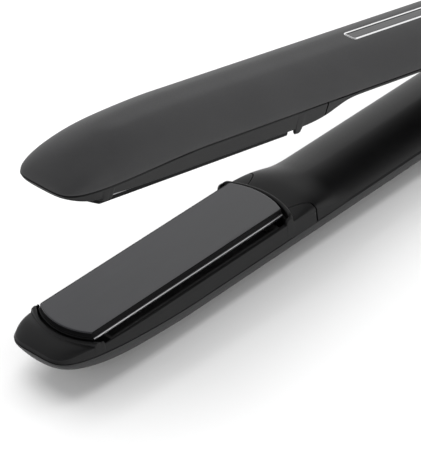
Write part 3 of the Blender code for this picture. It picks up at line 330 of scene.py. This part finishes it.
ridge_top, ridge_gap = -1.5, 1.8
shadow_line = 0.35                # undercut that draws the dark line along the parting
side_round, seam_round, window_round = 0.35, 0.12, 0.3
window_front = front_centre - math.sqrt((front_radius + window_gap) ** 2 - wall_inner ** 2)
window_rear = rear_centre + math.sqrt((rear_radius + window_gap) ** 2 - wall_inner ** 2)


def band_z(x):
    """Upper edge of the cover's upright side band."""
    tip = -tip_parting_depth + 2 * parting_gap
    front = tip + (-rim_depth - tip) * ease(x, tip_x, -2.0)
    return front + (rim_depth - band_depth) * ease(x, plate_length, seam_x + 20.0)


def cover_crest(x):
    """Height of the cover's middle line: nose, plate window, tongue and handle in turn."""
    nose_end = band_z(tip_x) + 0.4
    foot_x = -front_bow - window_gap - rib_width
    front = nose_end + (-nose_foot_depth - nose_end) * swell(x - tip_x, foot_x - tip_x, 1.6)
    wall = front + (-rim_depth + 0.3 - front) * ease(x, foot_x, 4.0)
    tongue = wall + (-tongue_crest - wall) * ease(x, plate_length, seam_x + 4.0)
    return tongue + (tongue_crest - handle_crest) * ease(x, seam_x, seam_x + 30.0)


def cover_arch(x):
    """Fullness of the cover's arch, flatter under the plate and rounder in the handle."""
    front = 2.6 + 3.4 * ease(x, tip_x, 0.0)
    return front + (1.65 - front) * ease(x, plate_length - 6.0, seam_x + 14.0)


def cover_z(x, y):
    """Height of the inner cover's surface, arched between its two side bands."""
    wide = half_width(x)
    shoulder = np.maximum(np.maximum(wide - cover_draft, wide * 0.9), 1e-3)
    band = np.maximum(band_z(x), parting_z(x) + parting_gap + 0.2)
    height = np.maximum(cover_crest(x) - band, 0.15)
    power = cover_arch(x)
    share = np.clip(np.abs(y) / shoulder, 0.0, 1.0)
    return band + height * (1 - share ** power) ** (1 / power)


def rounded_step(inside, radius):
    """How far a rounded edge has dropped, a distance inside from its side."""
    short = np.clip(radius - inside, 0.0, radius)
    return radius - np.sqrt(radius ** 2 - short ** 2)


def front_gap(x, y):
    """How far a point lies outside the plate's front arc."""
    return np.hypot(x - front_centre, y) - front_radius


def rear_gap(x, y):
    """How far a point lies outside the plate's rear arc."""
    return np.hypot(x - rear_centre, y) - rear_radius


def arc_behind(y, gap):
    """Where the plate's rear arc, moved back by gap, lies at this distance from the middle."""
    return rear_centre + np.sqrt((rear_radius + gap) ** 2 - np.asarray(y, float) ** 2)


def seam_at(y, gap):
    """The seam behind the ridge: an arc in the middle that sweeps back round each ear to the side."""
    away = np.abs(np.asarray(y, float))
    arc = arc_behind(np.minimum(away, arc_half), ridge_gap + rib_width + gap)
    sweep = np.sin(math.pi / 2 * np.clip((away - arc_half) / sweep_width, 0.0, 1.0))
    return arc + (seam_x + gap - parting_gap - arc) * sweep


def reach_outline(x, y, dx, dy, inset):
    """Distance from a point, along a direction, to the arm's plan outline."""
    near, far = 0.0, 40.0
    for _ in range(40):
        middle = (near + far) / 2
        px, py = x + dx * middle, y + dy * middle
        if px > tip_x + inset and abs(py) < half_width(px, inset):
            near = middle
        else:
            far = middle
    return near


def housing_rays():
    """(start, direction, end on the outline or seam) of each section round the plate's window."""
    rays = []

    def straight(x, y, dx, dy):
        size = math.hypot(dx, dy)
        rays.append(((x, y), (dx / size, dy / size), None))

    def fan(x, y, first, last):
        for share in np.arange(1, 6) / 6:
            straight(x, y, first[0] + (last[0] - first[0]) * share, first[1] + (last[1] - first[1]) * share)

    for y in wall_inner * np.sin(np.linspace(-math.pi / 2, math.pi / 2, 75)):
        x = front_centre - math.sqrt((front_radius + window_gap) ** 2 - y ** 2)
        straight(x, y, x - front_centre, y)
    fan(window_front, wall_inner, (window_front - front_centre, wall_inner), (0, 22.0))
    ends = np.array([0.0, 0.3, 0.6, 0.8, 1.0, 1.2, 1.35, 1.5, 1.6, 1.75, 1.9, 2.1, 2.6])
    middle = np.linspace(window_front + 3.2, window_rear - 3.2, 80)
    side = np.concatenate([window_front + ends, middle, window_rear - ends[::-1]])
    for x in side:
        straight(x, wall_inner, 0.0, 1.0)
    corner = rear_radius + window_gap
    fan(window_rear, wall_inner, (0, corner), (window_rear - rear_centre, wall_inner))
    ear_end, on_seam_share = window_rear + 3.1, 0.6
    rear = np.concatenate([np.linspace(wall_inner, arc_half, 34),
                           np.linspace(arc_half, -arc_half, 37)[1:-1],
                           np.linspace(-arc_half, -wall_inner, 34)])
    for y in rear:
        x = float(arc_behind(y, window_gap))
        share = max((abs(y) - arc_half) / (wall_inner - arc_half), 0.0)
        if share == 0.0:
            angle = math.atan2(y, x - rear_centre)
            reach = rear_radius + ridge_gap + rib_width + parting_gap
            target = (rear_centre + reach * math.cos(angle), reach * math.sin(angle))
        elif share < on_seam_share:
            out = arc_half + (half_arm - side_inset - arc_half) * share / on_seam_share
            target = (float(seam_at(out, parting_gap)) - parting_gap, math.copysign(out, y))
        else:
            back = seam_x - parting_gap + (ear_end - seam_x) * (share - on_seam_share) / (1 - on_seam_share)
            target = (back, math.copysign(half_width(back, side_inset), y))
        rays.append(((x, y), ((x - rear_centre) / corner, y / corner), target))
    fan(window_rear, -wall_inner, (window_rear - rear_centre, -wall_inner), (0, -corner))
    for x in side[::-1]:
        straight(x, -wall_inner, 0.0, -1.0)
    fan(window_front, -wall_inner, (0, -22.0), (window_front - front_centre, -wall_inner))
    return rays


def wrapped_end(past, length):
    """Height share of a rib's end: full, then rounded down to nothing over its last length."""
    return math.sqrt(max(1 - (max(past, 0.0) / length) ** 2, 0.0))


def housing_height(x, y):
    """The cover's surface with the front rib and the rear ridge, whose ends turn along the walls."""
    base = float(cover_z(x, y))
    along_wall = abs(y) - wall_inner + window_gap
    if x < plate_length / 2:
        inside = max(float(front_gap(x, y)), along_wall) - window_gap
        top, share = rib_top, wrapped_end(x - window_front - 0.7, 0.9)
    else:
        inside = max(float(rear_gap(x, y)), along_wall + 0.3) - ridge_gap
        top, share = ridge_top, wrapped_end(window_rear - 0.2 - x, 1.1) * wrapped_end(abs(y) - 14.9, 2.0)
    if -0.01 <= inside <= rib_width + 0.01 and share > 0.0:
        across = max(min(inside, rib_width - inside), 0.0)
        return max(base, base + (top - float(rounded_step(across, rib_round)) - base) * share)
    return base


def housing_profile(ray):
    """One closed section of the housing: window wall, top, rounded edge, side band and underside."""
    (x, y), (dx, dy), target = ray
    near = np.array([0.0, 0.06, 0.18, 0.36, 0.55, 0.9, 1.25, 1.44, 1.62, 1.74, 1.8, 1.83, 2.1, 2.5])
    if target is not None:
        near = np.array([0.0, 0.2, 0.5, 0.68, 0.7, 0.76, 0.88, 1.06, 1.25, 1.6, 1.95, 2.14, 2.44, 2.5])
    edge_round = side_round
    if target is None:
        reach = reach_outline(x, y, dx, dy, side_inset)
        end = (x + dx * reach, y + dy * reach)
        foot_reach = reach_outline(x, y, dx, dy, 0.0)
        foot = (x + dx * foot_reach, y + dy * foot_reach)
        if abs(dy) == 1.0:
            near = near * 0.3
        near = np.minimum(near, reach - edge_round)
        path = [(x + dx * d, y + dy * d) for d in near]
    else:
        path = [(x + dx * d, y + dy * d) for d in near]
        end = target
        on_seam = abs(target[1]) < half_arm - cover_draft
        edge_round = seam_round if on_seam else side_round
        foot = end if on_seam else (end[0], math.copysign(half_width(end[0]), end[1]))
    last = path[-1]
    length = math.hypot(end[0] - last[0], end[1] - last[1])
    ux, uy = ((end[0] - last[0]) / length, (end[1] - last[1]) / length) if length > 1e-6 else (dx, dy)
    flat = max(length - edge_round, 0.0)
    for share in np.sin(np.linspace(0.0, math.pi / 2, 15))[1:]:
        path.append((last[0] + ux * flat * share, last[1] + uy * flat * share))
    made = []
    bottom = float(parting_z(min(end[0], seam_x))) + parting_gap
    made.append((x, y, -parting_depth + parting_gap))
    made.append((x, y, housing_height(x, y) - 0.8))
    for px, py in path:
        z = housing_height(px, py)
        if x > window_front + 1.0:
            z -= float(rounded_step(math.hypot(px - x, py - y), window_round))
        made.append((px, py, z))
    top = made[-1]
    for turn in (math.pi / 8, math.pi / 4, math.pi * 3 / 8, math.pi / 2):
        out = edge_round * math.sin(turn)
        made.append((top[0] + ux * out, top[1] + uy * out, top[2] - edge_round * (1 - math.cos(turn))))
    rim = made[-1]
    lip = bottom + shadow_line
    for share in (0.33, 0.66, 0.94, 1.0):
        z = rim[2] + (lip - rim[2]) * share
        made.append((rim[0] + (foot[0] - rim[0]) * share, rim[1] + (foot[1] - rim[1]) * share, z))
    made.append((foot[0] - ux * shadow_line, foot[1] - uy * shadow_line, bottom))
    return made


heat_proof_black = finish("heat_proof_black", (0.006, 0.006, 0.0063), (0.011, 0.011, 0.0115), 0.44, 0.05,
                          0.28, 0.008, specular=0.22)
for arm in ("lower", "upper"):
    sections = [housing_profile(ray) for ray in housing_rays()]
    housing = lofted(arm + "_plate_surround", sections, arm, heat_proof_black, closed=True)
    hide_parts(arm + "_plate_housing")
    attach(housing, arm + "_arm")

# ---------------------------------------------------------------- handle covers
# The rear inner moulding of each arm, in satin black.  It swells up behind the plate into a long
# rounded grip with an upright band along each side, and is screwed to the back shell.  The lower
# one has a round hole for the power button and a pin hole for the indicator.
cover_end, cover_wall = 219.6, 1.4
band_levels = (0.0, 0.09, 0.5, 0.9)             # shares of the side band's height
button_x = HINGE_AT[0] - 28.0
lens_x = button_x - 10.0
button_radius, lens_radius, fit_gap = 4.8, 1.2, 0.3


def handle_grid(inset):
    """Rows back from the seam; each runs up one side band, over the arch and down the other."""
    turn = np.linspace(0.0, math.pi, 73)
    spread = np.sign(np.cos(turn)) * np.abs(np.cos(turn)) ** 1.15
    rows = []
    for share in np.concatenate([np.linspace(0.0, 0.3, 40)[:-1], np.linspace(0.3, 1.0, 50)]):
        row = [(1, level) for level in band_levels]
        row += [(value, None) for value in spread]
        row += [(-1, level) for level in band_levels[::-1]]
        made = []
        for across, level in row:
            begin = float(seam_at(across * (half_arm - cover_draft), 2 * parting_gap))
            x = begin + (cover_end - inset - begin) * share
            wide = float(half_width(x))
            band = max(float(band_z(x)), float(parting_z(x)) + parting_gap + 0.2)
            foot = float(parting_z(x)) + parting_gap
            if level is None:
                y = across * (wide - cover_draft)
                z = float(cover_z(x, y))
                z -= float(rounded_step((1 - abs(across)) * (wide - cover_draft), side_round)) * 0.6
                y -= across * inset
                z -= inset
            else:
                crown = band - 0.6 * side_round - inset
                under = shadow_line if level == 0.0 else 0.0
                y = math.copysign(wide - cover_draft * level - under - inset, across)
                z = foot + (crown - foot) * level
            made.append((x, y, max(z, foot) if inset else z))
        rows.append(made)
    wall = [(x, y, float(parting_z(x)) + parting_gap) for x, y, z in rows[-1]]
    rows.append(wall)
    return np.array(rows)


def turned_rings(centre, profile, sides=64):
    """Rings about an upright axis; profile holds (height, radius) from end to end."""
    turn = np.linspace(0.0, math.tau, sides, endpoint=False)
    return [np.column_stack([centre[0] + radius * np.cos(turn), centre[1] + radius * np.sin(turn),
                             np.full(sides, height)]) for height, radius in profile]


satin_black = finish("satin_black", (0.0045, 0.0045, 0.0048), (0.008, 0.008, 0.0085), 0.36, 0.04,
                     0.45, 0.004, specular=0.19)
for arm in ("lower", "upper"):
    handle = thick_skin(arm + "_grip_cover", handle_grid(0.0), handle_grid(cover_wall), arm, satin_black)
    if arm == "lower":
        for x, radius in ((button_x, button_radius + fit_gap), (lens_x, lens_radius + fit_gap)):
            hole = turned_rings((x, 0.0), [(-9.0, radius), (-4.75, radius), (-4.3, radius + 0.25),
                                           (0.0, radius + 0.8)])
            cut_out(handle, lofted("hole", hole, arm, satin_black))
    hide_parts(arm + "_handle_cover")
    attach(handle, arm + "_arm")

# ---------------------------------------------------------------- hot plates
# The aluminium plates that close on the hair: bowed at both ends, the face coated in polished black ceramic,
# and the slab's sides, underside and the face's long edges in a darker matt black that is painted shade for the
# dark recess they face, with a wider bare-edged flange below that the housing traps.
# Each floats on silicone cushions, so it rides on its own body.
plate_corner, flange_top_z, shade_painted_rim = 0.8, -2.0, 0.4


def plate_ring(offset, z):
    """Plan outline of the plate moved out by offset, at one height."""
    half = plate_half + offset
    soft = plate_corner
    front = np.linspace(-half + soft, half - soft, 41)
    rear = front[::-1]
    front_x = front_centre - np.sqrt((front_radius + offset) ** 2 - front ** 2)
    rear_x = rear_centre + np.sqrt((rear_radius + offset) ** 2 - rear ** 2)
    left = [(front_x[-1] + soft * 0.35, half - soft * 0.3), (front_x[-1] + soft, half)]
    left_back = [(rear_x[0] - soft, half), (rear_x[0] - soft * 0.35, half - soft * 0.3)]
    right_back = [(x, -y) for x, y in left_back[::-1]]
    right = [(x, -y) for x, y in left[::-1]]
    outline = list(zip(front_x, front)) + left + left_back + list(zip(rear_x, rear)) + right_back + right
    return np.array([(x, y, z) for x, y in outline])


ceramic_black = finish("ceramic_black", (0.008, 0.0085, 0.0125), (0.0095, 0.010, 0.014), 0.10, 0.02,
                       2.5, 0.0006, specular=0.62, stretch=(0.15, 1.0, 1.0))
# painted shade: this darker, matter black on the plate's sides, underside and long face edges stands in for the
# shade of the recess they face
shade_painted_side = finish("shade_painted_side", (0.0025, 0.0025, 0.0028), (0.005, 0.005, 0.0055), 0.50, 0.06,
                     0.3, 0.004, specular=0.10)
bare_aluminium = finish("bare_aluminium", (0.38, 0.38, 0.39), (0.52, 0.52, 0.53), 0.34, 0.06,
                        0.12, 0.0015, metallic=1.0, stretch=(0.05, 1.0, 1.0))
bare_from = {"lower": 0.5, "upper": 12.0}       # where the bare edge starts, behind the front corners
for arm in ("lower", "upper"):
    profile = [(-1.6, 0.0), (-0.42, 0.0), (-0.20, -0.004), (-0.09, -0.03), (-0.03, -0.09), (0.0, -0.20),
               (0.0, -1.0), (0.0, -1.95), (0.04, -2.02), (0.36, -2.02), (0.5, -2.08), (0.6, -2.25),
               (0.6, -3.0), (0.52, -3.14), (0.3, -3.2)]
    plate = lofted(arm + "_ceramic_plate", [plate_ring(*step) for step in profile], arm, ceramic_black)
    plate.data.materials.append(shade_painted_side)
    plate.data.materials.append(bare_aluminium)
    to_arm = arm_place[arm].inverted()
    for face in plate.data.polygons:
        at = to_arm @ face.center
        on_side = abs(at.y) > plate_half - 0.1 and 0.5 < at.x < plate_length - 0.5
        if at.z < flange_top_z and on_side and at.x > bare_from[arm]:
            face.material_index = 2
        # painted shade: below the face, and along its last few tenths at the long sides, the plate takes the
        # darker painted-shade black
        elif at.z < -0.15 or abs(at.y) > plate_half - shade_painted_rim:
            face.material_index = 1
    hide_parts(arm + "_hot_plate")
    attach(plate, arm + "_plate")

# ---------------------------------------------------------------- trim strip
# A bright plated bezel pressed into the pocket on the upper back, framing a smoked satin insert.
# The bezel stands a quarter of a millimetre proud, with its outer edge rolled over.
bright_plating = finish("bright_plating", (0.74, 0.74, 0.75), (0.82, 0.82, 0.83), 0.12, 0.03, 0.8, 0.0004,
                        metallic=1.0)
smoked_insert = finish("smoked_insert", (0.040, 0.040, 0.041), (0.060, 0.060, 0.062), 0.34, 0.04,
                       0.25, 0.002, specular=0.4, stretch=(0.08, 1.0, 1.0))
proud = crest_z - 0.25
seat = crest_z + 0.7
outer_steps = [(0.1, seat), (0.1, proud + 0.35), (0.18, proud + 0.15), (0.32, proud + 0.03), (0.5, proud)]
inner_steps = [(0.72, proud + 0.03), (0.82, proud + 0.14), (0.85, proud + 0.3), (0.85, seat)]
bezel_rings = [strip_ring(*step) for step in outer_steps + inner_steps]
bezel = lofted("trim_bezel", bezel_rings, "upper", bright_plating, closed=True)
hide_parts("inlay_bezel")
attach(bezel, "upper_arm")
insert_steps = [(1.15, seat), (1.15, crest_z + 0.25), (1.22, crest_z + 0.1), (1.4, crest_z + 0.05),
                (2.2, crest_z + 0.05)]
insert = lofted("trim_insert", [strip_ring(*step) for step in insert_steps], "upper", smoked_insert)
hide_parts("inlay_panel")
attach(insert, "upper_arm")

# ---------------------------------------------------------------- power button and indicator
# A polished black push button with a shallow thumb dish, and beside it the end of a milky light
# pipe.  Both come up through the lower handle cover from the circuit board.
polished_black = finish("polished_black", (0.010, 0.010, 0.011), (0.016, 0.016, 0.017), 0.14, 0.03,
                        1.2, 0.0008)
milky = finish("milky", (0.80, 0.80, 0.82), (0.86, 0.86, 0.88), 0.22, 0.03, 0.6, 0.001)
button_top = -handle_crest + 0.9
flange_top = -handle_crest - cover_wall - 1.4
flange_bottom, flange_radius, stem_radius = flange_top - 1.0, button_radius + 1.1, 1.4
dish_radius, dish_depth = 4.0, 0.28
dish = [(button_top - 0.02 - dish_depth * (1 - (r / dish_radius) ** 2), r)
        for r in (3.9, 3.2, 2.4, 1.5, 0.6)]
button_profile = [(-9.2, stem_radius - 0.1), (-9.1, stem_radius), (flange_bottom, stem_radius),
                  (flange_bottom, flange_radius), (flange_top, flange_radius), (flange_top, button_radius),
                  (button_top - 0.55, button_radius), (button_top - 0.2, button_radius - 0.1),
                  (button_top - 0.04, button_radius - 0.36), (button_top, button_radius - 0.6)] + dish
button = lofted("thumb_button", turned_rings((button_x, 0.0), button_profile), "lower", polished_black)
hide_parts("power_button")
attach(button, "power_button")
lens_top = -handle_crest + 0.1
lens_profile = [(-11.0, 0.9), (lens_top - 0.5, lens_radius), (lens_top - 0.2, lens_radius),
                (lens_top - 0.05, 1.0), (lens_top, 0.6)]
lens = lofted("indicator_pip", turned_rings((lens_x, 0.0), lens_profile, 32), "lower", milky)
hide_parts("indicator_lens")
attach(lens, "lower_arm")

# ---------------------------------------------------------------- hinge, gland and inner pieces
# The hinge halves, pin, spring and cord gland, and all that lies inside the arms: trays, heaters,
# cushions, leads and the board.  They keep their turned and moulded forms and take real finishes.
hinge_black = finish("hinge_black", (0.018, 0.018, 0.019), (0.030, 0.030, 0.031), 0.45, 0.05, 0.3, 0.008)
flexible_black = finish("flexible_black", (0.014, 0.014, 0.014), (0.022, 0.022, 0.022), 0.60, 0.05,
                        0.4, 0.01)
zinc_plate = finish("zinc_plate", (0.52, 0.53, 0.55), (0.62, 0.62, 0.62), 0.28, 0.06, 0.2, 0.002,
                    metallic=1.0)
spring_steel = finish("spring_steel", (0.42, 0.42, 0.43), (0.55, 0.55, 0.55), 0.30, 0.06, 0.15, 0.002,
                      metallic=1.0)
fired_white = finish("fired_white", (0.74, 0.72, 0.66), (0.80, 0.78, 0.72), 0.60, 0.06, 0.3, 0.01)
glass_filled = finish("glass_filled", (0.035, 0.035, 0.035), (0.06, 0.06, 0.06), 0.65, 0.08, 0.25, 0.015)
grey_silicone = finish("grey_silicone", (0.030, 0.029, 0.028), (0.045, 0.044, 0.043), 0.62, 0.06, 0.5, 0.01)
lead_cover = finish("lead_cover", (0.55, 0.55, 0.50), (0.66, 0.66, 0.62), 0.55, 0.06, 0.3, 0.01)
solder_mask = finish("solder_mask", (0.010, 0.12, 0.045), (0.02, 0.17, 0.07), 0.32, 0.06, 0.8, 0.01)
finishes = {"hinge": hinge_black, "gland": flexible_black, "screw_steel": zinc_plate,
            "spring_steel": spring_steel, "ceramic": fired_white, "insulator": glass_filled,
            "silicone": grey_silicone, "lead": lead_cover, "board": solder_mask}
for part in frame["record"]["subparts"]:
    if part["material_slot"] in finishes:
        for slot in frame["nodes"][part["node"]].material_slots:
            slot.material = finishes[part["material_slot"]]

# ---------------------------------------------------------------- table, light and camera
# A plain pale table top, one wide soft lamp above and behind that isn't mirrored in the gloss, and
# light walls all round under a darker ceiling.
table = bpy.data.materials.new("pale_table")
table.use_nodes = True
tree = table.node_tree
place = node(tree, "ShaderNodeTexCoord").outputs["Object"]
mottle = node(tree, "ShaderNodeTexNoise", Vector=place, Scale=400.0, Detail=3.0).outputs["Fac"]
tree.links.new(ramp(tree, mottle, 0.55, 0.7, 0.3, 0.7), tree.nodes["Principled BSDF"].inputs["Roughness"])
tree.nodes["Principled BSDF"].inputs["Base Color"].default_value = (0.93, 0.93, 0.93, 1.0)
tree.nodes["Principled BSDF"].inputs["Specular IOR Level"].default_value = 0.1
bpy.ops.mesh.primitive_plane_add(size=8.0, location=(0, 0, 0))
floor = bpy.context.object
floor.name = "table_top"
floor.data.materials.append(table)

world = bpy.data.worlds.new("studio")
bpy.context.scene.world = world
world.use_nodes = True
tree = world.node_tree
direction = node(tree, "ShaderNodeTexCoord").outputs["Generated"]
split = node(tree, "ShaderNodeSeparateXYZ", Vector=direction).outputs
walls = ramp(tree, split["Z"], 1.2, 0.28, 0.59, 0.69)
far_wall = ramp(tree, split["X"], 0.7, 1.0, -0.85, -0.1)
tree.links.new(calculated(tree, "MULTIPLY", walls, far_wall), tree.nodes["Background"].inputs["Color"])
tree.nodes["Background"].inputs["Strength"].default_value = 1.0

lamp_data = bpy.data.lights.new("soft_lamp", "AREA")
lamp_data.shape = "RECTANGLE"
lamp_data.size, lamp_data.size_y = 1.8, 1.8
lamp_data.energy = 26.0
lamp = bpy.data.objects.new("soft_lamp", lamp_data)
lamp.location = (0.1, 0.5, 1.5)
lamp.visible_glossy = False
bpy.context.scene.collection.objects.link(lamp)

azimuth, elevation, roll = math.radians(-47.27), math.radians(35.72), math.radians(-0.64)
focal_share, distance = 3200.0 / 421.0, 1.11953  # focal length over the picture's width, and metres
sensor_width = 36.0
back = Vector((math.sin(azimuth) * math.cos(elevation), -math.cos(azimuth) * math.cos(elevation),
               math.sin(elevation)))
level = Vector((math.cos(azimuth), math.sin(azimuth), 0.0))
upright = back.cross(level)
right = level * math.cos(roll) + upright * math.sin(roll)
up = upright * math.cos(roll) - level * math.sin(roll)
plate_front = arm_place["lower"] @ Vector((0.0, 0.0, 0.0))
aim = plate_front + Vector((0.060, 0.0, 0.0)) + level * 0.0085 + upright * 0.00523
camera_data = bpy.data.cameras.new("camera")
camera_data.sensor_fit = "HORIZONTAL"
camera_data.sensor_width = sensor_width
camera_data.lens = focal_share * sensor_width
camera_data.clip_start = 0.01
camera = bpy.data.objects.new("camera", camera_data)
turn = Matrix((right, up, back)).transposed().to_4x4()
camera.matrix_world = Matrix.Translation(aim + back * distance) @ turn
bpy.context.scene.collection.objects.link(camera)
bpy.context.scene.camera = camera
bpy.context.scene.view_settings.view_transform = "Standard"
